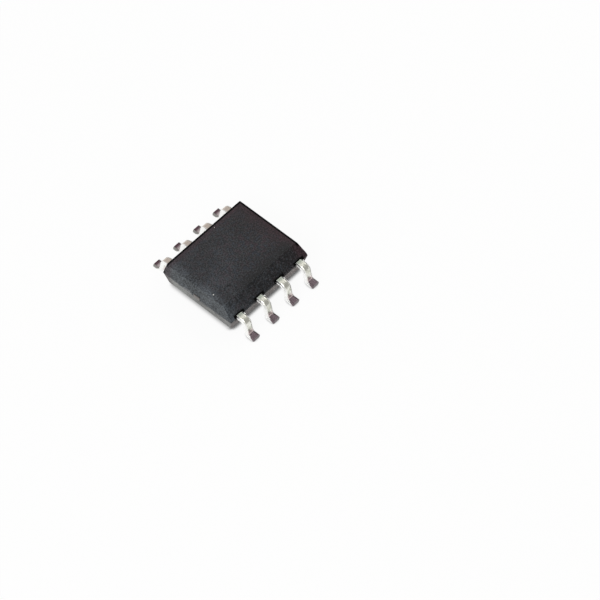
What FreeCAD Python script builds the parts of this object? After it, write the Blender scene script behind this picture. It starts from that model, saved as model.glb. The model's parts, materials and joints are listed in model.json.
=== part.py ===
import FreeCAD, Part
import math
import os

import Sketcher

# An 8-lead small-outline chip, in millimetres.
# The origin is the centre of the plane that the feet stand on, and +Z points up.
# The body is long along X. The bevelled side, with leads 1 to 4, faces -Y, and lead 1 is at the -X end.
# Leads 5 to 8 are on the +Y side, counted back from the +X end.

doc = FreeCAD.newDocument("SmallOutlineChip")
sheet = doc.addObject("Spreadsheet::Sheet", "Sizes")

sizes = [
    ("lead_pitch", 1.27, "from one lead's centre line to the next"),
    ("lead_reach", 0.96, "from the side of the body to the tip of a lead"),
    ("lead_width", 0.41, "width of a lead outside the body"),
    ("frame_thickness", 0.20, "sheet that the leads and the paddle are stamped from"),
    ("dambar_gap", 0.03, "from the body to the stubs where the dambar was cut out"),
    ("dambar_length", 0.09, "length of those stubs along the lead"),
    ("dambar_stub", 0.025, "how far those stubs stand out at each side"),
    ("stub_height", 0.08, "height of those stubs, half-way up the side of the lead"),
    ("shoulder_flat", 0.04, "level stretch of a lead from those stubs to its first bend"),
    ("shoulder_bend", 0.27, "first bend, at the middle of the metal"),
    ("lead_slope", 78, "degrees from level of the lead between its bends"),
    ("foot_bend", 0.16, "second bend, at the middle of the metal"),
    ("edge_break", 0.05, "flat that stamping and plating leave on a lead's long edges"),
    ("end_margin", 0.57, "from the centre line of an end lead to the end of the body"),
    ("body_width", 4.08, "body at the parting line, from row to row"),
    ("standoff", 0.12, "from the seating plane to the underside of the body"),
    ("lower_height", 0.76, "body below the parting line"),
    ("upper_height", 0.61, "body above the parting line"),
    ("mould_draft", 13, "degrees that every side leans in, so that it leaves the mould"),
    ("edge_radius", 0.06, "all outer edges of the body but the parting line"),
    ("bevel_land", 0.06, "height of the side between the parting line and the bevel"),
    ("bevel_angle", 45, "degrees from level of the bevel along leads 1 to 4"),
    ("mark_radius", 0.30, "round lead 1 mark in the top"),
    ("mark_depth", 0.04, "depth of the mark"),
    ("mark_slope", 45, "degrees that the mark's wall leans"),
    ("mark_from_end", 0.565, "from the end of the flat top to the rim of the mark"),
    ("mark_from_bevel", 0.07, "from the bevel to the rim of the mark"),
    ("finger_width", 0.62, "wide head of a lead inside the body, which locks it in the mould"),
    ("finger_gap", 0.20, "between the paddle and the leads around it"),
    ("lock_inset", 0.25, "from the side of the body to the wide head"),
    ("lock_hole_radius", 0.10, "hole in an end lead's head, which the moulding fills"),
    ("lock_hole_inset", 0.50, "from the side of the body to that hole"),
    ("corner_reach", 0.55, "from the middle of the body to the inner end of an end lead"),
    ("paddle_width", 2.20, "die paddle from row to row"),
    ("paddle_downset", 0.20, "how far the paddle lies below the leads"),
    ("tie_width", 0.36, "tie bars at the two ends of the paddle"),
    ("tie_bend", 0.15, "bends of the tie bars, at the middle of the metal"),
    ("tie_slope", 40, "degrees from level of the tie bars between their bends"),
    ("tie_start", 0.14, "from the paddle's end to the start of the slope"),
    ("tie_stub", 0.01, "how far the cut end of a tie bar stands out of the body"),
    ("attach_thickness", 0.025, "layer that holds the die on the paddle"),
    ("attach_margin", 0.06, "how far that layer shows round the die"),
    ("die_length", 1.60, "die along the body"),
    ("die_width", 1.35, "die from row to row"),
    ("die_thickness", 0.25, "die"),
    ("pad_inset", 0.10, "from the die's edge to the middle of a bond pad"),
    ("side_pad_place", 0.32, "bond pads on the long edges, from the middle of the die"),
    ("end_pad_place", 0.30, "bond pads on the short edges, from the middle of the die"),
    ("wire_radius", 0.015, "gold bond wire"),
    ("ball_radius", 0.040, "ball that the wire is bonded with on the die"),
    ("ball_height", 0.022, "height of the ball once it is pressed flat"),
    ("loop_height", 0.16, "top of the wire's loop above the die"),
    ("loop_bend", 0.07, "bend at the top of the loop"),
    ("landing_bend", 0.12, "bend where the wire meets the lead"),
    ("landing_length", 0.06, "level end of the wire on the lead"),
    ("stitch_length", 0.10, "flattened end of the wire on the lead"),
    ("stitch_width", 0.07, "width of that end"),
    ("stitch_thickness", 0.014, "thickness of that end"),
    ("stitch_inset", 0.14, "from the inner end of a lead to the middle of the stitch"),
]

for row, (alias, value, meaning) in enumerate(sizes, start=1):
    sheet.set(f"A{row}", alias)
    sheet.set(f"B{row}", str(value))
    sheet.set(f"C{row}", meaning)
    sheet.setAlias(f"B{row}", alias)
doc.recompute()

# Heights and places that several pieces share, worked out from the sheet.
PARTING = "(Sizes.standoff + Sizes.lower_height)"
BODY_TOP = f"({PARTING} + Sizes.upper_height)"
HALF_BODY = "(Sizes.body_width / 2)"
END_LEAD = "(1.5 * Sizes.lead_pitch)"
INNER_LEAD = "(0.5 * Sizes.lead_pitch)"
HALF_LENGTH = f"({END_LEAD} + Sizes.end_margin)"
LEAD_TOP = f"({PARTING} + Sizes.frame_thickness / 2)"
LEAD_TIP = f"({HALF_BODY} + Sizes.lead_reach)"
STUB_START = f"({HALF_BODY} + Sizes.dambar_gap)"
STUB_END = f"({STUB_START} + Sizes.dambar_length)"
PADDLE_HALF = f"({END_LEAD} - Sizes.finger_width / 2 - Sizes.finger_gap)"
PADDLE_MIDDLE = f"({PARTING} - Sizes.paddle_downset)"
PADDLE_TOP = f"({PADDLE_MIDDLE} + Sizes.frame_thickness / 2)"
DIE_BASE = f"({PADDLE_TOP} + Sizes.attach_thickness)"
DIE_TOP = f"({DIE_BASE} + Sizes.die_thickness)"

# Flat sides that stand for the round section of a wire and of its ball.
WIRE_SIDES = 8


def new_body(label):
    body = doc.addObject("PartDesign::Body", label)
    body.Label = label
    return body


def new_sketch(body, name, plane, offset="0"):
    """A sketch on one of the body's own origin planes, moved along that plane's normal."""
    sketch = body.newObject("Sketcher::SketchObject", name)
    support = [item for item in body.Origin.OriginFeatures if item.Role == plane][0]
    sketch.AttachmentSupport = [(support, "")]
    sketch.MapMode = "FlatFace"
    sketch.setExpression("AttachmentOffset.Base.z", offset)
    return sketch


def number(sketch, expression):
    return float(sketch.evalExpression(expression))


def place_point(sketch, geometry, end, across, up):
    """Fixes one end of a line, or a point, at two distances from the sketch's origin."""
    for kind, expression in (("DistanceX", across), ("DistanceY", up)):
        value = number(sketch, expression)
        index = sketch.addConstraint(Sketcher.Constraint(kind, -1, 1, geometry, end, value))
        sketch.setExpression(f"Constraints[{index}]", expression)


def draw_outline(sketch, corners):
    """A closed outline of straight edges through corners given as pairs of expressions."""
    first = sketch.GeometryCount
    points = [FreeCAD.Vector(number(sketch, across), number(sketch, up), 0) for across, up in corners]
    count = len(points)
    for index in range(count):
        sketch.addGeometry(Part.LineSegment(points[index], points[(index + 1) % count]), False)
    for index in range(count):
        following = first + (index + 1) % count
        sketch.addConstraint(Sketcher.Constraint("Coincident", first + index, 2, following, 1))
    for index, (across, up) in enumerate(corners):
        place_point(sketch, first + index, 1, across, up)


def draw_strip(sketch, half_across, low, high):
    draw_outline(sketch, [
        (f"-{half_across}", low),
        (half_across, low),
        (half_across, high),
        (f"-{half_across}", high),
    ])


def draw_rectangle(sketch, half_length, half_width):
    draw_strip(sketch, half_length, f"-{half_width}", half_width)


def draw_circle(sketch, across, up, radius):
    centre = FreeCAD.Vector(number(sketch, across), number(sketch, up), 0)
    circle = Part.Circle(centre, FreeCAD.Vector(0, 0, 1), number(sketch, radius))
    geometry = sketch.addGeometry(circle, False)
    place_point(sketch, geometry, 3, across, up)
    index = sketch.addConstraint(Sketcher.Constraint("Radius", geometry, number(sketch, radius)))
    sketch.setExpression(f"Constraints[{index}]", radius)


def draw_sided_round(sketch, radius):
    """A round section about the sketch's origin, drawn with a few flat sides."""
    turns = [(side + 0.5) * 360 / WIRE_SIDES for side in range(WIRE_SIDES)]
    draw_outline(sketch, [(f"{radius} * cos({turn})", f"{radius} * sin({turn})") for turn in turns])


def draw_bent_path(sketch, corners, radii):
    """Straight runs through the corners, joined by arcs that are tangent to them.

    There is one radius for each corner between the two ends.
    """
    points = [FreeCAD.Vector(number(sketch, across), number(sketch, up), 0) for across, up in corners]
    bends = []
    for index, radius in enumerate(radii, start=1):
        corner = points[index]
        arriving = (corner - points[index - 1]).normalize()
        leaving = (points[index + 1] - corner).normalize()
        turn = arriving.getAngle(leaving)
        size = number(sketch, radius)
        back = size * math.tan(turn / 2)
        start = corner - arriving * back
        end = corner + leaving * back
        inward = (leaving - arriving).normalize()
        centre = corner + inward * (size / math.cos(turn / 2))
        anticlockwise = arriving.cross(leaving).z > 0
        bends.append((start, end, centre, size, anticlockwise))

    runs = []
    begin = points[0]
    for start, end, centre, size, anticlockwise in bends:
        runs.append(sketch.addGeometry(Part.LineSegment(begin, start), False))
        begin = end
    runs.append(sketch.addGeometry(Part.LineSegment(begin, points[-1]), False))

    for index, (start, end, centre, size, anticlockwise) in enumerate(bends):
        arc_ends = (start, end) if anticlockwise else (end, start)
        angles = [math.atan2(point.y - centre.y, point.x - centre.x) for point in arc_ends]
        if angles[1] < angles[0]:
            angles[1] += 2 * math.pi
        circle = Part.Circle(centre, FreeCAD.Vector(0, 0, 1), size)
        arc = sketch.addGeometry(Part.ArcOfCircle(circle, angles[0], angles[1]), False)
        first_end, last_end = (1, 2) if anticlockwise else (2, 1)
        sketch.addConstraint(Sketcher.Constraint("Tangent", runs[index], 2, arc, first_end))
        sketch.addConstraint(Sketcher.Constraint("Tangent", arc, last_end, runs[index + 1], 1))
        radius = sketch.addConstraint(Sketcher.Constraint("Radius", arc, size))
        sketch.setExpression(f"Constraints[{radius}]", radii[index])
        corner = sketch.addGeometry(Part.Point(points[index + 1]), True)
        sketch.addConstraint(Sketcher.Constraint("PointOnObject", corner, 1, runs[index]))
        sketch.addConstraint(Sketcher.Constraint("PointOnObject", corner, 1, runs[index + 1]))
        place_point(sketch, corner, 1, corners[index + 1][0], corners[index + 1][1])
    place_point(sketch, runs[0], 1, corners[0][0], corners[0][1])
    place_point(sketch, runs[-1], 2, corners[-1][0], corners[-1][1])


def add_pad(body, name, sketch, length):
    pad = body.newObject("PartDesign::Pad", name)
    pad.Profile = sketch
    pad.setExpression("Length", length)
    doc.recompute()
    return pad


def add_pipe(body, name, profile, path):
    pipe = body.newObject("PartDesign::AdditivePipe", name)
    pipe.Profile = profile
    pipe.Spine = path
    doc.recompute()
    return pipe


def must_cut(feature, before):
    """Stops the build if a pocket pointed away from the solid."""
    if feature.Shape.Volume > before - 1e-6:
        raise RuntimeError(f"{feature.Name} removed nothing")


def add_fillet(body, name, base, radius, wanted):
    """Rounds each edge of the base whose two ends pass the test."""
    names = []
    for index, edge in enumerate(base.Shape.Edges, start=1):
        ends = [vertex.Point for vertex in edge.Vertexes]
        if len(ends) == 2 and wanted(ends[0], ends[1]):
            names.append(f"Edge{index}")
    fillet = body.newObject("PartDesign::Fillet", name)
    fillet.Base = (base, names)
    fillet.setExpression("Radius", radius)
    doc.recompute()
    return fillet


# The leads. Each is drawn with its centre line on local X = 0 and its foot towards local +Y.
def make_lead(number_of_lead):
    row_side = -1 if number_of_lead <= 4 else 1
    step = number_of_lead - 2.5 if row_side < 0 else 6.5 - number_of_lead
    at_end = abs(step) > 1
    body = new_body(f"lead_{number_of_lead}")

    # Inside the body the lead widens to a head, which ends beside the paddle.
    tip = "Sizes.corner_reach" if at_end else "(Sizes.paddle_width / 2 + Sizes.finger_gap)"
    head = "(Sizes.finger_width / 2)"
    head_end = f"({HALF_BODY} - Sizes.lock_inset)"
    plan = new_sketch(body, f"HeadPlan{number_of_lead}", "XY_Plane",
                      f"{PARTING} - Sizes.frame_thickness / 2")
    draw_strip(plan, head, tip, head_end)
    if at_end:
        draw_circle(plan, "0", f"({HALF_BODY} - Sizes.lock_hole_inset)", "Sizes.lock_hole_radius")
    add_pad(body, f"Head{number_of_lead}", plan, "Sizes.frame_thickness")

    # From the head on it is a strip, bent down to a foot that lies on the seating plane.
    strip_start = f"({head_end} - Sizes.lock_inset / 4)"
    knee = f"({STUB_END} + Sizes.shoulder_flat + Sizes.shoulder_bend * tan(Sizes.lead_slope / 2))"
    foot_height = "(Sizes.frame_thickness / 2)"
    heel = f"({knee} + ({PARTING} - {foot_height}) / tan(Sizes.lead_slope))"
    path = new_sketch(body, f"StripPath{number_of_lead}", "YZ_Plane")
    draw_bent_path(path, [
        (strip_start, PARTING),
        (knee, PARTING),
        (heel, foot_height),
        (LEAD_TIP, foot_height),
    ], ["Sizes.shoulder_bend", "Sizes.foot_bend"])

    half_thick = "Sizes.frame_thickness / 2"
    side = "Sizes.lead_width / 2"
    flat = "Sizes.edge_break"
    section = new_sketch(body, f"StripSection{number_of_lead}", "XZ_Plane", f"-{strip_start}")
    draw_outline(section, [
        (f"{side}", f"{PARTING} - {half_thick} + {flat}"),
        (f"{side}", f"{PARTING} + {half_thick} - {flat}"),
        (f"{side} - {flat}", f"{PARTING} + {half_thick}"),
        (f"-{side} + {flat}", f"{PARTING} + {half_thick}"),
        (f"-{side}", f"{PARTING} + {half_thick} - {flat}"),
        (f"-{side}", f"{PARTING} - {half_thick} + {flat}"),
        (f"-{side} + {flat}", f"{PARTING} - {half_thick}"),
        (f"{side} - {flat}", f"{PARTING} - {half_thick}"),
    ])
    add_pipe(body, f"Strip{number_of_lead}", section, path)

    stubs = new_sketch(body, f"StubPlan{number_of_lead}", "XY_Plane",
                       f"{PARTING} - Sizes.stub_height / 2")
    draw_strip(stubs, "(Sizes.lead_width / 2 + Sizes.dambar_stub)", STUB_START, STUB_END)
    add_pad(body, f"DambarStubs{number_of_lead}", stubs, "Sizes.stub_height")

    turn = 180 if row_side < 0 else 0
    body.Placement = FreeCAD.Placement(FreeCAD.Vector(), FreeCAD.Rotation(FreeCAD.Vector(0, 0, 1), turn))
    body.setExpression("Placement.Base.x", f"{step} * Sizes.lead_pitch")
    return body


# The paddle is sunk below the leads. A tie bar climbs from each end of it to the parting line
# and is cut off just outside the end of the body.
def make_paddle():
    body = new_body("die_paddle")
    plan = new_sketch(body, "PaddlePlan", "XY_Plane", f"{PADDLE_MIDDLE} - Sizes.frame_thickness / 2")
    draw_rectangle(plan, PADDLE_HALF, "(Sizes.paddle_width / 2)")
    add_pad(body, "Paddle", plan, "Sizes.frame_thickness")

    bar_start = f"({PADDLE_HALF} - Sizes.tie_start)"
    foot = f"({PADDLE_HALF} + Sizes.tie_start)"
    crest = f"({foot} + Sizes.paddle_downset / tan(Sizes.tie_slope))"
    path = new_sketch(body, "TiePath", "XZ_Plane")
    draw_bent_path(path, [
        (bar_start, PADDLE_MIDDLE),
        (foot, PADDLE_MIDDLE),
        (crest, PARTING),
        (f"{HALF_LENGTH} + Sizes.tie_stub", PARTING),
    ], ["Sizes.tie_bend", "Sizes.tie_bend"])
    half_thick = "Sizes.frame_thickness / 2"
    side = "Sizes.tie_width / 2"
    section = new_sketch(body, "TieSection", "YZ_Plane", bar_start)
    draw_outline(section, [
        (f"-{side}", f"{PADDLE_MIDDLE} - {half_thick}"),
        (f"{side}", f"{PADDLE_MIDDLE} - {half_thick}"),
        (f"{side}", f"{PADDLE_MIDDLE} + {half_thick}"),
        (f"-{side}", f"{PADDLE_MIDDLE} + {half_thick}"),
    ])
    bar = add_pipe(body, "TieBar", section, path)

    mirror = body.newObject("PartDesign::Mirrored", "OtherTieBar")
    mirror.Originals = [bar]
    middle = [item for item in body.Origin.OriginFeatures if item.Role == "YZ_Plane"][0]
    mirror.MirrorPlane = (middle, [""])
    body.Tip = mirror
    doc.recompute()
    return body


def make_die_attach():
    body = new_body("die_attach")
    plan = new_sketch(body, "AttachPlan", "XY_Plane", PADDLE_TOP)
    draw_rectangle(plan, "(Sizes.die_length / 2 + Sizes.attach_margin)",
                   "(Sizes.die_width / 2 + Sizes.attach_margin)")
    add_pad(body, "Attach", plan, "Sizes.attach_thickness")
    return body


def make_die():
    body = new_body("silicon_die")
    plan = new_sketch(body, "DiePlan", "XY_Plane", DIE_BASE)
    draw_rectangle(plan, "(Sizes.die_length / 2)", "(Sizes.die_width / 2)")
    add_pad(body, "Die", plan, "Sizes.die_thickness")
    return body


# The wires. Each is drawn in its own upright plane, from its ball at local X = 0 to its stitch.
def make_wire(number_of_lead):
    row_side = -1 if number_of_lead <= 4 else 1
    step = number_of_lead - 2.5 if row_side < 0 else 6.5 - number_of_lead
    end_side = -1 if step < 0 else 1
    at_end = abs(step) > 1
    body = new_body(f"bond_wire_{number_of_lead}")

    if at_end:
        ball_x = "(Sizes.die_length / 2 - Sizes.pad_inset)"
        ball_y = "Sizes.end_pad_place"
        stitch_x = END_LEAD
        stitch_y = "(Sizes.corner_reach + Sizes.stitch_inset)"
    else:
        ball_x = "Sizes.side_pad_place"
        ball_y = "(Sizes.die_width / 2 - Sizes.pad_inset)"
        stitch_x = INNER_LEAD
        stitch_y = "(Sizes.paddle_width / 2 + Sizes.finger_gap + Sizes.stitch_inset)"
    run_x = f"({stitch_x} - {ball_x})"
    run_y = f"({stitch_y} - {ball_y})"
    span = f"sqrt({run_x} ^ 2 + {run_y} ^ 2)"

    ball = new_sketch(body, f"BallPlan{number_of_lead}", "XY_Plane", DIE_TOP)
    draw_sided_round(ball, "Sizes.ball_radius")
    add_pad(body, f"Ball{number_of_lead}", ball, "Sizes.ball_height")

    wire_start = f"({DIE_TOP} + Sizes.ball_height / 2)"
    landing = f"({LEAD_TOP} + Sizes.wire_radius + Sizes.stitch_thickness / 4)"
    path = new_sketch(body, f"WirePath{number_of_lead}", "XZ_Plane")
    draw_bent_path(path, [
        ("0", wire_start),
        ("0", f"{DIE_TOP} + Sizes.loop_height"),
        (f"{span} - Sizes.landing_length", landing),
        (span, landing),
    ], ["Sizes.loop_bend", "Sizes.landing_bend"])
    section = new_sketch(body, f"WireSection{number_of_lead}", "XY_Plane", wire_start)
    draw_sided_round(section, "Sizes.wire_radius")
    add_pipe(body, f"Wire{number_of_lead}", section, path)

    stitch = new_sketch(body, f"StitchPlan{number_of_lead}", "XY_Plane", LEAD_TOP)
    stitch_in = f"{span} - Sizes.stitch_length / 2"
    stitch_out = f"{span} + Sizes.stitch_length / 2"
    draw_outline(stitch, [
        (stitch_in, "-Sizes.stitch_width / 2"),
        (stitch_out, "-Sizes.stitch_width / 2"),
        (stitch_out, "Sizes.stitch_width / 2"),
        (stitch_in, "Sizes.stitch_width / 2"),
    ])
    add_pad(body, f"Stitch{number_of_lead}", stitch, "Sizes.stitch_thickness")

    body.Placement = FreeCAD.Placement(FreeCAD.Vector(), FreeCAD.Rotation(FreeCAD.Vector(0, 0, 1), 1))
    body.setExpression("Placement.Base.x", f"{end_side} * {ball_x}")
    body.setExpression("Placement.Base.y", f"{row_side} * {ball_y}")
    body.setExpression("Placement.Rotation.Angle", f"atan2({row_side} * {run_y}; {end_side} * {run_x})")
    return body


# The moulding's two halves meet at the parting line, each with the mould's draft.
def add_half(body, name, inset, level):
    """A block that is full size at the parting line and leans in towards the given level."""
    half = body.newObject("PartDesign::AdditiveWedge", name)
    upright = [item for item in body.Origin.OriginFeatures if item.Role == "XZ_Plane"][0]
    half.AttachmentSupport = [(upright, "")]
    half.MapMode = "FlatFace"
    full = {"X": HALF_LENGTH, "Z": HALF_BODY}
    leaning = {axis: f"({size} - {inset})" for axis, size in full.items()}
    rises = level == BODY_TOP
    low, high = (full, leaning) if rises else (leaning, full)
    for axis in ("X", "Z"):
        half.setExpression(f"{axis}min", f"-{low[axis]}")
        half.setExpression(f"{axis}max", low[axis])
        half.setExpression(f"{axis}2min", f"-{high[axis]}")
        half.setExpression(f"{axis}2max", high[axis])
    half.setExpression("Ymin", PARTING if rises else level)
    half.setExpression("Ymax", level if rises else PARTING)
    doc.recompute()
    return half


def round_half(body, name, half):
    """Rounds every edge of a half but the four on the parting line."""
    parting = float(half.evalExpression(PARTING))
    near = 1e-4

    def is_outer(one, other):
        return abs(one.z - parting) > near or abs(other.z - parting) > near

    return add_fillet(body, name, half, "Sizes.edge_radius", is_outer)


def make_lower_half():
    body = new_body("lower_half")
    block = add_half(body, "LowerBlock", "Sizes.lower_height * tan(Sizes.mould_draft)", "Sizes.standoff")
    round_half(body, "LowerEdges", block)
    return body


def make_upper_half():
    body = new_body("upper_half")
    upper_inset = "Sizes.upper_height * tan(Sizes.mould_draft)"
    block = add_half(body, "UpperBlock", upper_inset, BODY_TOP)
    rounded = round_half(body, "UpperEdges", block)

    # The bevel starts on the leaning side, just above the parting line, and rises inwards to the top.
    bevel_foot = f"({PARTING} + Sizes.bevel_land)"
    bevel_depth = "(Sizes.upper_height - Sizes.bevel_land)"
    bevel_side = f"({HALF_BODY} - Sizes.bevel_land * tan(Sizes.mould_draft))"
    bevel_edge = f"({bevel_side} - {bevel_depth} / tan(Sizes.bevel_angle))"
    outside = f"({HALF_BODY} + {bevel_depth})"
    above = f"({BODY_TOP} + {bevel_depth})"
    bevel_plan = new_sketch(body, "BevelSection", "YZ_Plane")
    draw_outline(bevel_plan, [
        (f"-{bevel_side}", bevel_foot),
        (f"-{bevel_edge}", BODY_TOP),
        (f"-{bevel_edge}", above),
        (f"-{outside}", above),
        (f"-{outside}", bevel_foot),
    ])
    before = rounded.Shape.Volume
    bevel = body.newObject("PartDesign::Pocket", "Bevel")
    bevel.Profile = bevel_plan
    bevel.Type = "ThroughAll"
    bevel.SideType = "Symmetric"
    doc.recompute()
    must_cut(bevel, before)

    # The lead 1 mark is a shallow round dish with a leaning wall.
    before = bevel.Shape.Volume
    mark = body.newObject("PartDesign::SubtractiveCone", "LeadOneMark")
    floor = [item for item in body.Origin.OriginFeatures if item.Role == "XY_Plane"][0]
    mark.AttachmentSupport = [(floor, "")]
    mark.MapMode = "FlatFace"
    top_end = f"({HALF_LENGTH} - {upper_inset})"
    mark.setExpression("AttachmentOffset.Base.x",
                       f"-({top_end} - Sizes.mark_from_end - Sizes.mark_radius)")
    mark.setExpression("AttachmentOffset.Base.y",
                       f"-({bevel_edge} - Sizes.mark_from_bevel - Sizes.mark_radius)")
    mark.setExpression("AttachmentOffset.Base.z", f"{BODY_TOP} - Sizes.mark_depth")
    mark.setExpression("Height", "Sizes.mark_depth")
    mark.setExpression("Radius1", "Sizes.mark_radius - Sizes.mark_depth / tan(Sizes.mark_slope)")
    mark.setExpression("Radius2", "Sizes.mark_radius")
    doc.recompute()
    must_cut(mark, before)
    return body


leads = [make_lead(index) for index in range(1, 9)]
paddle = make_paddle()
die_attach = make_die_attach()
die = make_die()
wires = [make_wire(index) for index in range(1, 9)]
metal_and_die = leads + [paddle, die_attach, die] + wires

# The moulding is one piece, and fills the space round everything inside it.
inserts = doc.addObject("Part::Compound", "Inserts")
inserts.Links = metal_and_die
moulding = doc.addObject("Part::Fuse", "Moulding")
moulding.Base = make_lower_half()
moulding.Tool = make_upper_half()
moulded_body = doc.addObject("Part::Cut", "MouldedBody")
moulded_body.Label = "moulded_body"
moulded_body.Base = moulding
moulded_body.Tool = inserts
doc.recompute()

for item in doc.Objects:
    if "Invalid" in item.State or "Error" in item.State:
        raise RuntimeError(f"{item.Label} failed: {item.State}")

sub_parts = [moulded_body] + metal_and_die
for item in sub_parts:
    if item.Shape.isNull() or not item.Shape.isValid():
        raise RuntimeError(f"{item.Label} has no valid shape")
    if len(item.Shape.Solids) != 1:
        raise RuntimeError(f"{item.Label} has {len(item.Shape.Solids)} solids")

os.makedirs("parts", exist_ok=True)
for item in sub_parts:
    item.Shape.exportStep(f"parts/{item.Label}.step")
    box = item.Shape.BoundBox
    print(f"{item.Label}: volume {item.Shape.Volume:.5f}, "
          f"X {box.XMin:.3f} to {box.XMax:.3f}, Y {box.YMin:.3f} to {box.YMax:.3f}, "
          f"Z {box.ZMin:.3f} to {box.ZMax:.3f}")
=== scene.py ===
import json
import math

import bpy
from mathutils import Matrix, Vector


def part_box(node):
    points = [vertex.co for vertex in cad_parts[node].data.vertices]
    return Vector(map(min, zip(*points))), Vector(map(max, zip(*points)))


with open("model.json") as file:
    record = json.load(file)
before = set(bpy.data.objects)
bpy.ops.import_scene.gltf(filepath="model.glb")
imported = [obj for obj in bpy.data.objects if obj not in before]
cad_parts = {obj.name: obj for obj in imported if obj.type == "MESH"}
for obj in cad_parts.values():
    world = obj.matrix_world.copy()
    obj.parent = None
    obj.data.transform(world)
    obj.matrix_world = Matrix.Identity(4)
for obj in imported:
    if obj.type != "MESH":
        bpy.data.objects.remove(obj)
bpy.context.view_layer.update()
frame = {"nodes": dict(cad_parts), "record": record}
mm = 0.001
print("frame:", len(frame["nodes"]), "nodes")


# Small helpers
def linearColour(hexCode):  # sRGB hex to linear
    channels = [int(hexCode[start:start + 2], 16) / 255 for start in (1, 3, 5)]
    return tuple(c / 12.92 if c <= 0.04045 else ((c + 0.055) / 1.055) ** 2.4 for c in channels) + (1.0,)


def addNode(tree, kind, inputs=None, **settings):  # inputs: socket name or number to a value or another socket
    node = tree.nodes.new(kind)
    for name, value in settings.items():
        setattr(node, name, value)
    for key, value in (inputs or {}).items():
        if isinstance(value, bpy.types.NodeSocket):
            tree.links.new(value, node.inputs[key])
        else:
            node.inputs[key].default_value = value
    return node


def newMaterial(name):
    material = bpy.data.materials.new(name)
    material.use_nodes = True
    material.node_tree.nodes.clear()
    return material, material.node_tree


def perSize(sizeInMm):  # texture scale on object coordinates, which are in metres
    return 1 / (sizeInMm * mm)


# Where things are on this chip, in mm, from the frame's boxes where they show it
_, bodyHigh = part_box("moulded_body")
leadLow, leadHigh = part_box("lead_1")
leadSheetMm = 0.20
place = {
    "halfLength": bodyHigh.x / mm,  # body at the parting line
    "halfWidth": bodyHigh.y / mm,
    "top": bodyHigh.z / mm,
    "topHalfLength": 2.334,
    "topHalfWidth": 1.899,
    "parting": leadHigh.z / mm - leadSheetMm / 2,  # the leads' sheet lies across the parting line
    "leadPitch": 1.27,
    "leadHalf": 0.205,
    "leadTip": -leadLow.y / mm,
}


# What the finishes go by: the place in metres (where) and in mm, the way a face looks, and the place against the
# nearest lead in pitches
def readPlaces(tree):
    where = addNode(tree, "ShaderNodeTexCoord").outputs["Object"]
    inMm = addNode(tree, "ShaderNodeVectorMath", {0: where, "Scale": 1 / mm}, operation="SCALE").outputs[0]
    axes = addNode(tree, "ShaderNodeSeparateXYZ", {0: inMm})
    facing = addNode(tree, "ShaderNodeSeparateXYZ", {0: addNode(tree, "ShaderNodeNewGeometry").outputs["Normal"]})
    made = {"where": where, "inMm": inMm}
    for axis in "XYZ":
        made[axis.lower()], made["face" + axis] = axes.outputs[axis], facing.outputs[axis]
    made["across"] = addNode(tree, "ShaderNodeMath", {0: made["y"]}, operation="ABSOLUTE").outputs[0]
    inPitch = addNode(tree, "ShaderNodeMath", {0: made["x"], 1: place["leadPitch"]}, operation="DIVIDE").outputs[0]
    inPitch = addNode(tree, "ShaderNodeMath", {0: inPitch}, operation="FRACT").outputs[0]
    # the leads stand at the half pitches
    made["alongRow"] = addNode(tree, "ShaderNodeMath", {0: inPitch, 1: 0.5}, operation="SUBTRACT").outputs[0]
    made["fromLead"] = addNode(tree, "ShaderNodeMath", {0: made["alongRow"]}, operation="ABSOLUTE").outputs[0]
    return made


# Masks by name. Each is a step over something made before it (from low, from high, to low, to high), smooth unless
# it says LINEAR, or an operation on masks, held between 0 and 1.
def addMasks(tree, made, masks):
    for name, (kind, *rest) in masks.items():
        if kind in made:
            kind, rest = "SMOOTHSTEP", [kind, *rest]
        if kind in ("SMOOTHSTEP", "LINEAR"):
            source, low, high, toLow, toHigh = (rest + [0.0, 1.0])[:5]
            made[name] = addNode(tree, "ShaderNodeMapRange", {"Value": made[source], "From Min": low, "From Max": high,
                                                              "To Min": toLow, "To Max": toHigh},
                                 interpolation_type=kind).outputs[0]
        else:
            inputs = {slot: made.get(part, part) for slot, part in enumerate(rest)}
            made[name] = addNode(tree, "ShaderNodeMath", inputs, operation=kind, use_clamp=True).outputs[0]


# Colours laid over each other through their masks. A colour is a name in look, or a socket.
def layerColours(tree, made, look, base, layers):
    colour = linearColour(look[base])
    for mask, paint in layers:
        over = paint if isinstance(paint, bpy.types.NodeSocket) else linearColour(look[paint])
        colour = addNode(tree, "ShaderNodeMix", {0: made[mask], 6: colour, 7: over}, data_type="RGBA").outputs[2]
    return colour


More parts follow.
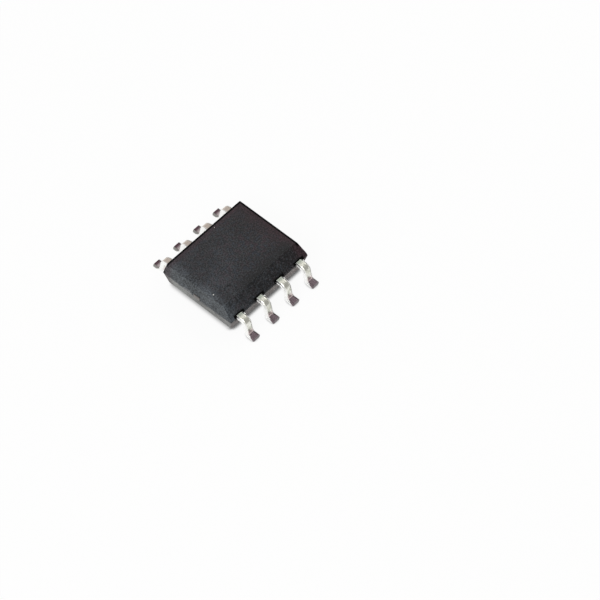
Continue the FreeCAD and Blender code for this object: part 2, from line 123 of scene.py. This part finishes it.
# Black epoxy moulding compound, pressed in a spark-eroded steel mould.
# It gives a fine matte grain, nearly black from above, and a grey sheen where it is seen at a low angle; its colour
# also carries painted sheen on the lead 1 end and the lower half, and painted shade on the bevel, the far edges and
# round the leads.
def mouldCompound():
    look = {
        "deep": "#131214", "wornAndLitGrey": "#29292a", "cool": "#484d52", "end": "#43474a", "low": "#757775",
        "brown": "#6f6765", "maroon": "#30181f", "edge": "#060506", "rootShadeBlack": "#020202", "speck": "#d8d8d2",
        "gate": "#6f7072", "blue": "#1d2431", "plum": "#2d1b25",
        "grainMm": 0.065,  # spark grain is about 0.01 mm, drawn coarser so that it shows
        "scuffMm": 0.42, "patchMm": 1.5, "fleckMm": 0.16,
        "rough": 0.55, "roughSpread": 0.16, "ior": 1.55, "specular": 0.30,
        "grainDepthMm": 0.011, "grainStrength": 0.7,
        "specks": [((-2.18, -0.74, 1.49), 0.035), ((0.49, 1.71, 1.49), 0.02)], "speckCore": 0.6,
        "gateAt": (-2.47, 0.57, 0.90), "gateReachMm": (0.3, 0.36, 0.12),
        "markAt": (-1.469, -1.106, 1.47), "markRadiusMm": 0.30, "pocketHalfMm": 0.31,
    }
    material, tree = newMaterial("epoxyMouldCompoundSparkGrain")
    made = readPlaces(tree)

    # Patterns: size, detail, roughness and distortion
    patterns = {
        "grain": (look["grainMm"], 4.0, 0.6, 0.0), "scuff": (look["scuffMm"], 5.0, 0.65, 0.4),
        "patch": (look["patchMm"], 2.0, 0.5, 0.0), "fleck": (look["fleckMm"], 2.0, 0.5, 0.0),
    }
    for name, (size, detail, roughness, distortion) in patterns.items():
        made[name] = addNode(tree, "ShaderNodeTexNoise", {"Vector": made["where"], "Scale": perSize(size),
                                                          "Detail": detail, "Roughness": roughness,
                                                          "Distortion": distortion}).outputs[0]

    # Distances: from the lead 1 mark, from the gate as a share of its reach, and along the top's diagonal
    fromMark = addNode(tree, "ShaderNodeVectorMath", {0: made["inMm"], 1: look["markAt"]}, operation="DISTANCE")
    made["fromMark"] = fromMark.outputs["Value"]
    fromGate = addNode(tree, "ShaderNodeVectorMath", {0: made["inMm"], 1: look["gateAt"]},
                       operation="SUBTRACT").outputs[0]
    scaled = addNode(tree, "ShaderNodeVectorMath", {0: fromGate, 1: look["gateReachMm"]}, operation="DIVIDE").outputs[0]
    made["fromGate"] = addNode(tree, "ShaderNodeVectorMath", {0: scaled}, operation="LENGTH").outputs["Value"]
    made["diagonal"] = addNode(tree, "ShaderNodeMath", {0: made["x"], 1: made["y"]}, operation="ADD").outputs[0]

    parting, top = place["parting"], place["top"]
    farY, farX = place["topHalfWidth"], place["topHalfLength"]
    radius, markSum = look["markRadiusMm"], sum(look["markAt"][:2])
    pocketHalf = look["pocketHalfMm"] / place["leadPitch"]
    masks = {
        # all over: scuffs and grain on dark compound, with bluish and reddish flecks
        "scuffed": ("scuff", 0.36, 0.70, -0.2, 1.0), "grained": ("grain", 0.36, 0.64, -0.7, 0.9),
        "wear": ("ADD", "scuffed", "grained"),
        "blueFleck": ("fleck", 0.50, 0.62, 0.0, 0.6), "plumFleck": ("fleck", 0.48, 0.38, 0.0, 0.6),
        # painted sheen: a cool grey sheen on the lead 1 end that fades along the top; the far end turns reddish
        "sheenFall": ("x", -2.28, -1.85, 0.75, 0.26), "sheenFade": ("x", -1.9, 1.6, 1.0, 0.0),
        "sheenPatch": ("patch", 0.3, 0.7, 0.7, 1.2),
        "sheenSpread": ("MULTIPLY", "sheenFall", "sheenFade"), "paintedSheen": ("MULTIPLY", "sheenSpread", "sheenPatch"),
        "farEnd": ("x", 1.2, 2.4, 0.0, 0.7),
        # painted shade: the bevel and the top beside it are painted darkest; painted light: the far side is a little
        # paler
        "towardBevel": ("y", -0.7, -1.45), "alongBevel": ("x", -2.3, -0.2, 0.35, 0.95),
        "bevelFace": ("faceY", -0.3, -0.6, 1.0, 0.68),
        "bevelled": ("MULTIPLY", "towardBevel", "alongBevel"), "bevel": ("MULTIPLY", "bevelled", "bevelFace"),
        "dust": ("grain", 0.50, 0.66, 0.0, 0.24), "bevelDust": ("MULTIPLY", "bevelled", "dust"),
        "farSide": ("y", -1.5, 2.0, 0.0, 0.30),
        # painted sheen: the lead 1 end and the lower half are painted paler, with a ragged upper limit on that end
        "atEnd": ("faceX", -0.75, -0.95), "endSheenShare": ("MULTIPLY", "atEnd", 0.8),
        "sheenRaiseFar": ("y", 0.4, 0.0), "sheenRaiseNear": ("y", -1.7, -1.3),
        "sheenRaiseAcross": ("MULTIPLY", "sheenRaiseFar", "sheenRaiseNear"), "sheenRaise": ("MULTIPLY", "sheenRaiseAcross", "atEnd"),
        "lowered": ("MULTIPLY_ADD", "sheenRaise", 0.13, "z"),
        "frayed": ("scuff", 0.35, 0.65, -0.07, 0.07), "ragged": ("MULTIPLY_ADD", "frayed", "atEnd", "lowered"),
        "lowerHalf": ("ragged", parting + 0.01, parting - 0.13), "notBelow": ("faceZ", -0.9, -0.6),
        "cloudy": ("patch", 0.3, 0.7, 0.75, 1.0),
        "lowerSheen": ("MULTIPLY", "lowerHalf", "notBelow"), "lowerSheenClouded": ("MULTIPLY", "lowerSheen", "cloudy"),
        "lowEndSheen": ("MULTIPLY", "lowerSheenClouded", "atEnd"),
        # painted shade: the two far edges of the top are painted black, with a reddish band beside it, and the upper
        # corner of the lead 1 end at the far side is painted black too
        "redY": ("y", farY - 0.45, farY - 0.12), "redX": ("x", farX - 0.45, farX - 0.12),
        "red": ("MAXIMUM", "redY", "redX"), "reddish": ("MULTIPLY", "red", 0.5),
        "blackY": ("y", farY - 0.13, farY - 0.08), "blackX": ("x", farX - 0.13, farX - 0.08),
        "roundTop": ("z", top - 0.16, top - 0.10),
        "farEdge": ("MAXIMUM", "blackY", "blackX"), "farRound": ("MULTIPLY", "farEdge", "roundTop"),
        "cornerY": ("y", place["halfWidth"] - 0.14, place["halfWidth"] - 0.07),
        "cornerEnd": ("faceX", -0.35, -0.6), "overParting": ("z", parting - 0.04, parting),
        "cornerFlat": ("MULTIPLY", "cornerY", "cornerEnd"), "corner": ("MULTIPLY", "cornerFlat", "overParting"),
        "farEdgeShade": ("MAXIMUM", "farRound", "corner"),
        # painted highlight: the wall of the lead 1 mark is a little paler than the top, most on its side towards the
        # lead 1 end and the bevel
        "markIn": ("fromMark", radius - 0.06, radius - 0.02), "markOut": ("fromMark", radius + 0.02, radius),
        "markLitSide": ("diagonal", markSum + 0.1, markSum - 0.3, 0.05, 0.55),
        "markRing": ("MULTIPLY", "markIn", "markOut"), "markWallHighlight": ("MULTIPLY", "markRing", "markLitSide"),
        # painted shade: a dark patch round each lead where it leaves the body
        "pocketAlong": ("fromLead", pocketHalf + 0.03, pocketHalf - 0.03),
        "pocketAcross": ("across", place["halfWidth"] - 0.15, place["halfWidth"] - 0.08),
        "pocketLow": ("z", parting - 0.24, parting - 0.14), "pocketHigh": ("z", parting + 0.23, parting + 0.13),
        "pocketFlat": ("MULTIPLY", "pocketAlong", "pocketAcross"),
        "pocketTall": ("MULTIPLY", "pocketLow", "pocketHigh"), "rootShade": ("MULTIPLY", "pocketFlat", "pocketTall"),
        "unlit": ("MAXIMUM", "farEdgeShade", "rootShade"), "sheenless": ("MULTIPLY", "unlit", 0.85),
        # gate remnant: a paler torn patch on the lead 1 end, where the compound was let in
        "torn": ("scuff", 0.3, 0.7, -0.3, 0.3), "gateEdge": ("ADD", "fromGate", "torn"),
        "gate": ("gateEdge", 1.0, 0.6, 0.0, 0.8),
        # filler grains lighten and darken every face a little, less so on the lower half
        "grainy": ("grain", 0.38, 0.62, -0.6, 0.66), "calm": ("z", parting - 0.2, parting + 0.1, 0.25, 1.0),
        "mottle": ("patch", 0.35, 0.65, 0.80, 1.20),
        "rough": ("scuff", 0.3, 0.7, look["rough"] - look["roughSpread"] / 2, look["rough"] + look["roughSpread"] / 2),
    }
    addMasks(tree, made, masks)

    # Layers of colour, from the compound upwards
    layers = [("wear", "wornAndLitGrey"), ("blueFleck", "blue"), ("plumFleck", "plum"), ("paintedSheen", "cool"), ("farEnd", "maroon"),
              ("bevel", "edge"), ("bevelDust", "cool"), ("farSide", "wornAndLitGrey"), ("endSheenShare", "end"),
              ("lowerSheenClouded", "brown"), ("lowEndSheen", "low"), ("reddish", "maroon"), ("farEdgeShade", "edge"),
              ("markWallHighlight", "cool"), ("rootShade", "rootShadeBlack"), ("gate", "gate")]
    colour = layerColours(tree, made, look, "deep", layers)
    gain = addNode(tree, "ShaderNodeMath", {0: made["grainy"], 1: made["calm"], 2: made["mottle"]},
                   operation="MULTIPLY_ADD")
    colour = addNode(tree, "ShaderNodeVectorMath", {0: colour, "Scale": gain.outputs[0]}, operation="SCALE").outputs[0]

    # Two pale specks on the top
    for centre, reach in look["specks"]:
        away = addNode(tree, "ShaderNodeVectorMath", {0: made["inMm"], 1: centre},
                       operation="DISTANCE").outputs["Value"]
        speck = addNode(tree, "ShaderNodeMapRange", {"Value": away, "From Min": reach,
                                                     "From Max": reach * look["speckCore"]},
                        interpolation_type="SMOOTHSTEP").outputs[0]
        colour = addNode(tree, "ShaderNodeMix", {0: speck, 6: colour, 7: linearColour(look["speck"])},
                         data_type="RGBA").outputs[2]

    bump = addNode(tree, "ShaderNodeBump", {"Height": made["grain"], "Strength": look["grainStrength"],
                                            "Distance": look["grainDepthMm"] * mm})
    # Metallic on a black colour takes the sheen off the far edges and the lead roots, as part of their painted shade
    shader = addNode(tree, "ShaderNodeBsdfPrincipled", {"Base Color": colour, "Roughness": made["rough"],
                                                        "Metallic": made["sheenless"], "IOR": look["ior"],
                                                        "Specular IOR Level": look["specular"],
                                                        "Normal": bump.outputs[0]})
    addNode(tree, "ShaderNodeOutputMaterial", {"Surface": shader.outputs[0]})
    return material


# Matte tin plate on stamped copper alloy, drawn over the forming tool.
# It gives a satin grey metal with fine drag lines along the lead and a duller, purplish foot.
def tinPlate():
    look = {
        "bright": "#f1f1ea", "dull": "#c3c4b6", "bent": "#f3e3e0", "shoulder": "#eeede0", "root": "#b4baae",
        "rose": "#bfaea4", "sheared": "#fdfdfb", "line": "#77776e", "tip": "#6e6669",
        "foot": "#76676d", "footEdge": "#3d3436", "paleFoot": "#c2b6b6", "darkFoot": "#5a434a",
        "farEdge": "#5b5053", "farSide": "#8f8d89",
        "crystalMm": 0.02,  # tin crystals are a few thousandths, drawn coarser so that they show
        "dragMm": 0.03, "dragStretch": (1.0, 0.06, 0.06), "stainMm": 0.25,
        "rough": 0.30, "roughSpread": 0.14, "bendMetal": 0.72,  # whitish film where the plate is bent
        "crystalDepthMm": 0.0015, "crystalStrength": 0.5, "rimMm": 0.11, "rimDropMm": 0.07,
        "lineMm": 0.035, "lineFadeMm": 0.01, "stainSlope": 0.8, "stainFadeMm": 0.03, "farStainLowerMm": 0.10,
    }
    material, tree = newMaterial("matteTinPlateFormed")
    made = readPlaces(tree)
    made["side"] = addNode(tree, "ShaderNodeMath", {0: made["faceX"]}, operation="ABSOLUTE").outputs[0]
    made["slant"] = addNode(tree, "ShaderNodeMath", {0: made["across"], 1: look["stainSlope"], 2: made["z"]},
                            operation="MULTIPLY_ADD").outputs[0]

    # Patterns: what they follow, size, detail and roughness
    dragged = addNode(tree, "ShaderNodeMapping", {"Vector": made["where"], "Scale": look["dragStretch"]}).outputs[0]
    patterns = {
        "crystal": (made["where"], look["crystalMm"], 3.0, 0.5), "drag": (dragged, look["dragMm"], 2.0, 0.5),
        "stain": (made["where"], look["stainMm"], 4.0, 0.6),
    }
    for name, (follows, size, detail, roughness) in patterns.items():
        made[name] = addNode(tree, "ShaderNodeTexNoise", {"Vector": follows, "Scale": perSize(size), "Detail": detail,
                                                          "Roughness": roughness}).outputs[0]

    halfWidth, leadTip = place["halfWidth"], place["leadTip"]
    pitch, leadHalf = place["leadPitch"], place["leadHalf"]
    lineAt, stainAt = leadHalf - look["lineMm"], leadTip * look["stainSlope"]
    farStainAt = stainAt - look["farStainLowerMm"]
    masks = {
        "stained": ("stain", 0.38, 0.66),
        "farRow": ("GREATER_THAN", "y", 0.0), "nearRow": ("SUBTRACT", 1.0, "farRow"),
        # heights: the foot's upper face, the bend over it and the shoulder
        "low": ("z", 0.212, 0.201), "overSole": ("z", 0.172, 0.19), "footHigh": ("MULTIPLY", "low", "overSole"),
        "underBend": ("z", 0.46, 0.28), "bend": ("MULTIPLY", "underBend", "overSole"),
        "shoulder": ("z", 0.76, 0.88), "root": ("LINEAR", "across", halfWidth + 0.16, halfWidth + 0.04),
        # the row away from the bevel has rosier shoulders
        "farShoulder": ("MULTIPLY", "shoulder", "farRow"), "rosy": ("MULTIPLY", "farShoulder", 0.8),
        # rims along the lead's long edges, rounded in the relief and painted near-white as a highlight, and the sheared
        # sides
        "rim": ("fromLead", (leadHalf - look["rimMm"]) / pitch, leadHalf / pitch),
        "sheared": ("LINEAR", "side", 0.35, 0.6), "notSheared": ("LINEAR", "side", 0.6, 0.35),
        # painted shade: a grey line along the edge away from lead 1, below the shoulder
        "line": ("LINEAR", "alongRow", (lineAt - look["lineFadeMm"]) / pitch, lineAt / pitch),
        "underShoulder": ("LINEAR", "z", 0.90, 0.80), "edgeLineShade": ("MULTIPLY", "line", "underShoulder"),
        # the foot's upper face, which on the far row is dark at the tip and paler towards the bend
        "footTop": ("MULTIPLY", "footHigh", "notSheared"),
        "byTip": ("across", leadTip - 0.26, leadTip - 0.08), "farTip": ("MULTIPLY", "byTip", "farRow"),
        "nearRim": ("MULTIPLY", "rim", "nearRow"), "farRim": ("MULTIPLY", "rim", "farRow"),
        "tip": ("GREATER_THAN", "across", leadTip - 0.004),
        # the foot's stain runs down its sides towards the tip, and lower on the far row
        "lowSide": ("MULTIPLY", "low", "sheared"),
        "nearDown": ("LINEAR", "slant", stainAt, stainAt + look["stainFadeMm"]),
        "farDown": ("LINEAR", "slant", farStainAt, farStainAt + look["stainFadeMm"]),
        "nearSide": ("MULTIPLY", "lowSide", "nearRow"), "nearStain": ("MULTIPLY", "nearSide", "nearDown"),
        "farSide": ("MULTIPLY", "lowSide", "farRow"), "farStain": ("MULTIPLY", "farSide", "farDown"),
        # the film dulls the bend, and the drag lines vary the gloss
        "metal": ("LINEAR", "bend", 0.0, 1.0, 1.0, look["bendMetal"]),
        "rough": ("LINEAR", "drag", 0.3, 0.7, look["rough"] - look["roughSpread"] / 2,
                  look["rough"] + look["roughSpread"] / 2),
    }
    addMasks(tree, made, masks)

    # Layers of colour, from the plate upwards, with the foot's upper face made on its own
    footLayers = [("farRow", "paleFoot"), ("farTip", "darkFoot"), ("nearRim", "footEdge"), ("farRim", "farEdge")]
    foot = layerColours(tree, made, look, "foot", footLayers)
    # the rim layer lays the sheared sides' near-white on the rims as a painted highlight
    layers = [("stained", "dull"), ("bend", "bent"), ("shoulder", "shoulder"), ("root", "root"), ("rosy", "rose"),
              ("rim", "sheared"), ("sheared", "sheared"), ("edgeLineShade", "line"), ("footTop", foot), ("tip", "tip"),
              ("nearStain", "foot"), ("farStain", "farSide")]
    colour = layerColours(tree, made, look, "bright", layers)

    # Relief: the rims fall away, and crystals and drag lines lie over them
    fall = addNode(tree, "ShaderNodeMath", {0: made["rim"], 1: -1.0}, operation="MULTIPLY")
    rounded = addNode(tree, "ShaderNodeBump", {"Height": fall.outputs[0], "Distance": look["rimDropMm"] * mm})
    relief = addNode(tree, "ShaderNodeMath", {0: made["crystal"], 1: made["drag"]}, operation="ADD")
    bump = addNode(tree, "ShaderNodeBump", {"Height": relief.outputs[0], "Strength": look["crystalStrength"],
                                            "Distance": look["crystalDepthMm"] * mm, "Normal": rounded.outputs[0]})
    shader = addNode(tree, "ShaderNodeBsdfPrincipled", {"Base Color": colour, "Metallic": made["metal"],
                                                        "Roughness": made["rough"], "Normal": bump.outputs[0]})
    addNode(tree, "ShaderNodeOutputMaterial", {"Surface": shader.outputs[0]})
    return material


# The pieces inside the moulding share one plain recipe: a colour that wanders, a roughness and a fine relief
innerLook = {"roughEitherWay": 0.08, "strength": 0.4, "depthMm": 0.001,
             "tarnishInMm": (0.03, 0.02)}  # in from the body's ends: where the film sets in and where it is full


def innerFinish(name, look):
    material, tree = newMaterial(name)
    where = addNode(tree, "ShaderNodeTexCoord").outputs["Object"]
    stretched = addNode(tree, "ShaderNodeMapping", {"Vector": where, "Scale": look["stretch"]})
    grain = addNode(tree, "ShaderNodeTexNoise", {"Vector": stretched.outputs[0], "Scale": perSize(look["grainMm"]),
                                                 "Detail": 4.0})
    colour = addNode(tree, "ShaderNodeMix", {0: grain.outputs[0], 6: linearColour(look["dark"]),
                                             7: linearColour(look["light"])}, data_type="RGBA").outputs[2]
    roughness = addNode(tree, "ShaderNodeMapRange", {"Value": grain.outputs[0],
                                                     "To Min": look["rough"] - innerLook["roughEitherWay"],
                                                     "To Max": look["rough"] + innerLook["roughEitherWay"]})
    bump = addNode(tree, "ShaderNodeBump", {"Height": grain.outputs[0], "Strength": innerLook["strength"],
                                            "Distance": innerLook["depthMm"] * mm})
    metal = look["metal"]
    if "tarnish" in look:  # dull brown film where the metal is cut and reaches the air
        along = addNode(tree, "ShaderNodeSeparateXYZ", {0: where}).outputs["X"]
        along = addNode(tree, "ShaderNodeMath", {0: along}, operation="ABSOLUTE").outputs[0]
        bare, filmed = ((place["halfLength"] - inside) * mm for inside in innerLook["tarnishInMm"])
        film = addNode(tree, "ShaderNodeMapRange", {"Value": along, "From Min": bare, "From Max": filmed}).outputs[0]
        colour = addNode(tree, "ShaderNodeMix", {0: film, 6: colour, 7: linearColour(look["tarnish"])},
                         data_type="RGBA").outputs[2]
        metal = addNode(tree, "ShaderNodeMapRange", {"Value": film, "To Min": 1.0, "To Max": 0.0}).outputs[0]
    shader = addNode(tree, "ShaderNodeBsdfPrincipled", {"Base Color": colour, "Metallic": metal,
                                                        "Roughness": roughness.outputs[0],
                                                        "Normal": bump.outputs[0]})
    addNode(tree, "ShaderNodeOutputMaterial", {"Surface": shader.outputs[0]})
    return material


# Rolled copper alloy: warm, with rolling lines along the sheet
copperLook = {"dark": "#a9603c", "light": "#d08a5e", "grainMm": 0.04, "stretch": (0.05, 1.0, 1.0), "rough": 0.35,
              "metal": 1.0, "tarnish": "#66615e"}
# Silver-filled adhesive, cured: dull light grey with a coarse filler
adhesiveLook = {"dark": "#8b8985", "light": "#b9b7b2", "grainMm": 0.03, "stretch": (1.0, 1.0, 1.0), "rough": 0.6,
                "metal": 0.0}
# Polished silicon: dark blue-grey mirror
siliconLook = {"dark": "#3a3f4b", "light": "#565c6a", "grainMm": 0.2, "stretch": (1.0, 1.0, 1.0), "rough": 0.18,
               "metal": 1.0}
# Drawn gold wire: bright and yellow
goldLook = {"dark": "#d9a441", "light": "#f2c566", "grainMm": 0.02, "stretch": (1.0, 1.0, 1.0), "rough": 0.22,
            "metal": 1.0}

finishes = {
    "mould_compound": mouldCompound(),
    "tin_plate": tinPlate(),
    "copper_alloy": innerFinish("rolledCopperAlloy", copperLook),
    "silver_epoxy": innerFinish("curedSilverAdhesive", adhesiveLook),
    "silicon": innerFinish("polishedSilicon", siliconLook),
    "gold_wire": innerFinish("drawnGoldWire", goldLook),
}
print("materials:", len(finishes))


# Smooth shading for the frame's own pieces: loose triangles are joined and only real edges stay crisp
def shadingTree():
    tree = bpy.data.node_groups.new("softShade", "GeometryNodeTree")
    tree.interface.new_socket("Geometry", in_out="INPUT", socket_type="NodeSocketGeometry")
    tree.interface.new_socket("Merge Distance", in_out="INPUT", socket_type="NodeSocketFloat")
    tree.interface.new_socket("Crisp Angle", in_out="INPUT", socket_type="NodeSocketFloat")
    tree.interface.new_socket("Geometry", in_out="OUTPUT", socket_type="NodeSocketGeometry")
    start = addNode(tree, "NodeGroupInput")
    merged = addNode(tree, "GeometryNodeMergeByDistance", {"Geometry": start.outputs["Geometry"],
                                                           "Distance": start.outputs["Merge Distance"]})
    smooth = addNode(tree, "GeometryNodeSetShadeSmooth", {"Geometry": merged.outputs[0], "Shade Smooth": True},
                     domain="FACE")
    angle = addNode(tree, "GeometryNodeInputMeshEdgeAngle")
    crisp = addNode(tree, "FunctionNodeCompare", {0: angle.outputs[0], 1: start.outputs["Crisp Angle"]},
                    data_type="FLOAT", operation="GREATER_THAN")
    edged = addNode(tree, "GeometryNodeSetShadeSmooth", {"Geometry": smooth.outputs[0],
                                                         "Selection": crisp.outputs[0], "Shade Smooth": False},
                    domain="EDGE")
    addNode(tree, "NodeGroupOutput", {"Geometry": edged.outputs[0]})
    return tree


shading = {"mergeMm": 0.0002, "crispDegrees": 24}
softShade = shadingTree()
socketIds = {item.name: item.identifier for item in softShade.interface.items_tree if item.in_out == "INPUT"}
for entry in frame["record"]["subparts"]:
    node = frame["nodes"][entry["node"]]
    node.data.materials.clear()
    node.data.materials.append(finishes[entry["material_slot"]])
    modifier = node.modifiers.new("softShade", "NODES")
    modifier.node_group = softShade
    modifier[socketIds["Merge Distance"]] = shading["mergeMm"] * mm
    modifier[socketIds["Crisp Angle"]] = math.radians(shading["crispDegrees"])
    weighted = node.modifiers.new("flatFacesFirst", "WEIGHTED_NORMAL")
    weighted.keep_sharp = True


# Floor: white sweep, plain white to the camera, with a faint soft shadow and a close contact shadow
floorLook = {
    "halfMm": 400, "white": "#f4f4f2", "shadowShare": 0.07,
    "contactMm": 0.38, "closed": 0.44, "open": 0.73, "contact": 0.13,
    # a share of the contact shadow is left at the first distance from the body and the whole at the second:
    # outwards from it among the feet, inwards at the lead 1 end and its near corner
    "byFeet": 0.5, "feetOutMm": (0.25, 0.05), "farLimitOutMm": 0.2,
    "byLeadOneEnd": 0.3, "endInMm": (0.1, 0.4), "cornerInMm": (0.55, 0.25),
}


def makeFloor():
    half = floorLook["halfMm"] * mm
    mesh = bpy.data.meshes.new("floor")
    # one wide triangle, which has no seam
    mesh.from_pydata([(-2 * half, -half, 0), (2 * half, -half, 0), (0, 2 * half, 0)], [], [(0, 1, 2)])
    floor = bpy.data.objects.new("floor", mesh)
    bpy.context.scene.collection.objects.link(floor)
    material, tree = newMaterial("whitePaperSweep")
    paper = addNode(tree, "ShaderNodeBsdfDiffuse", {"Color": linearColour(floorLook["white"])})
    near = addNode(tree, "ShaderNodeAmbientOcclusion", {"Distance": floorLook["contactMm"] * mm}, samples=16)
    path = addNode(tree, "ShaderNodeLightPath")
    where = addNode(tree, "ShaderNodeTexCoord").outputs["Object"]
    spot = addNode(tree, "ShaderNodeSeparateXYZ", {0: where})
    made = {
        "openness": near.outputs["AO"], "x": spot.outputs["X"], "y": spot.outputs["Y"],
        "across": addNode(tree, "ShaderNodeMath", {0: spot.outputs["Y"]}, operation="ABSOLUTE").outputs[0],
        "camera": path.outputs["Is Camera Ray"], "glossy": path.outputs["Is Glossy Ray"],
        "transmitted": path.outputs["Is Transmission Ray"],
    }
    feetLow, feetHigh = ((place["halfWidth"] + out) * mm for out in floorLook["feetOutMm"])
    endLow, endHigh = (-(place["halfLength"] - inwards) * mm for inwards in floorLook["endInMm"])
    cornerLow, cornerHigh = (-(place["halfWidth"] - inwards) * mm for inwards in floorLook["cornerInMm"])
    addMasks(tree, made, {
        "contact": ("openness", floorLook["closed"], floorLook["open"], floorLook["contact"], 1.0),
        # full under the body, weaker among the near feet, none among the far ones
        "byFeet": ("LINEAR", "across", feetLow, feetHigh, floorLook["byFeet"], 1.0),
        "notFar": ("LESS_THAN", "y", (place["halfWidth"] + floorLook["farLimitOutMm"]) * mm),
        # weak along the lead 1 end, but for its near corner
        "byEnd": ("LINEAR", "x", endLow, endHigh, floorLook["byLeadOneEnd"], 1.0),
        "byCorner": ("LINEAR", "y", cornerLow, cornerHigh), "alongEnd": ("MAXIMUM", "byEnd", "byCorner"),
        "kept": ("MULTIPLY", "byFeet", "alongEnd"), "strength": ("MULTIPLY", "kept", "notFar"),
        "lost": ("SUBTRACT", 1.0, "contact"), "shadow": ("MULTIPLY", "lost", "strength"),
        "white": ("SUBTRACT", 1.0, "shadow"),
        # metal shows the plain white, and the camera sees it with its contact shadow
        "mirrored": ("MAXIMUM", "glossy", "transmitted"), "level": ("MAXIMUM", "white", "mirrored"),
        "seen": ("MAXIMUM", "camera", "mirrored"), "share": ("MULTIPLY", "seen", 1 - floorLook["shadowShare"]),
    })
    blank = addNode(tree, "ShaderNodeEmission", {"Color": (1, 1, 1, 1), "Strength": made["level"]})
    mixed = addNode(tree, "ShaderNodeMixShader", {0: made["share"], 1: paper.outputs[0], 2: blank.outputs[0]})
    addNode(tree, "ShaderNodeOutputMaterial", {"Surface": mixed.outputs[0]})
    floor.data.materials.append(material)


makeFloor()
print("floor")

# Light: a white room, darker on one side above the bevel, and a soft lamp at each end of the chip
lightLook = {
    "room": 0.92, "darkSide": 0.46, "darkSideAt": (0.43, -0.72, 0.52), "wideDegrees": 85, "coreDegrees": 25,
    "lamps": {"lampAtLeadOne": (0.052, 70, (-95, -20, 70)), "lampAtLeadFour": (0.040, 70, (95, 10, 75))},
}


def makeWorld():
    world = bpy.data.worlds.new("softRoom")
    bpy.context.scene.world = world
    world.use_nodes = True
    tree = world.node_tree
    tree.nodes.clear()
    direction = addNode(tree, "ShaderNodeTexCoord").outputs["Generated"]
    facing = addNode(tree, "ShaderNodeVectorMath", {0: direction, 1: Vector(lightLook["darkSideAt"]).normalized()},
                     operation="DOT_PRODUCT").outputs["Value"]
    level = addNode(tree, "ShaderNodeMapRange", {"Value": facing,
                                                 "From Min": math.cos(math.radians(lightLook["wideDegrees"])),
                                                 "From Max": math.cos(math.radians(lightLook["coreDegrees"])),
                                                 "To Min": lightLook["room"], "To Max": lightLook["darkSide"]},
                    interpolation_type="SMOOTHSTEP")
    room = addNode(tree, "ShaderNodeBackground", {"Strength": level.outputs[0]})
    blank = addNode(tree, "ShaderNodeBackground", {"Color": (1, 1, 1, 1), "Strength": 1.0})
    path = addNode(tree, "ShaderNodeLightPath")
    mixed = addNode(tree, "ShaderNodeMixShader", {0: path.outputs["Is Camera Ray"], 1: room.outputs[0],
                                                  2: blank.outputs[0]})
    addNode(tree, "ShaderNodeOutputWorld", {"Surface": mixed.outputs[0]})


def makeLamp(name, watts, sizeMm, fromMm):
    lamp = bpy.data.lights.new(name, "AREA")
    lamp.energy = watts
    lamp.size = sizeMm * mm
    holder = bpy.data.objects.new(name, lamp)
    bpy.context.scene.collection.objects.link(holder)
    holder.location = Vector(fromMm) * mm
    holder.rotation_mode = "QUATERNION"
    holder.rotation_quaternion = (-holder.location).to_track_quat("-Z", "Y")


makeWorld()
for lampName, (watts, sizeMm, fromMm) in lightLook["lamps"].items():
    makeLamp(lampName, watts, sizeMm, fromMm)
print("light: the room and", len(lightLook["lamps"]), "lamps")

# Camera: where the photo was taken from, fitted to the lead tips and the body's corners
cameraLook = {"azimuth": -47.715, "elevation": 54.508, "fromMm": 140, "targetMm": (0.914, -2.976, 0.0),
              "lens": 192.3, "sensor": 36, "clip": (0.01, 10)}


def makeCamera():
    lens = bpy.data.cameras.new("camera")
    lens.lens = cameraLook["lens"]
    lens.sensor_width = cameraLook["sensor"]
    lens.clip_start, lens.clip_end = cameraLook["clip"]
    camera = bpy.data.objects.new("camera", lens)
    bpy.context.scene.collection.objects.link(camera)
    azimuth, elevation = (math.radians(cameraLook[name]) for name in ("azimuth", "elevation"))
    back = Vector((math.sin(azimuth) * math.cos(elevation), -math.cos(azimuth) * math.cos(elevation),
                   math.sin(elevation)))
    camera.location = (Vector(cameraLook["targetMm"]) + back * cameraLook["fromMm"]) * mm
    camera.rotation_mode = "QUATERNION"
    camera.rotation_quaternion = (-back).to_track_quat("-Z", "Y")
    bpy.context.scene.camera = camera


makeCamera()
bpy.context.scene.view_settings.view_transform = "Standard"
print("camera")
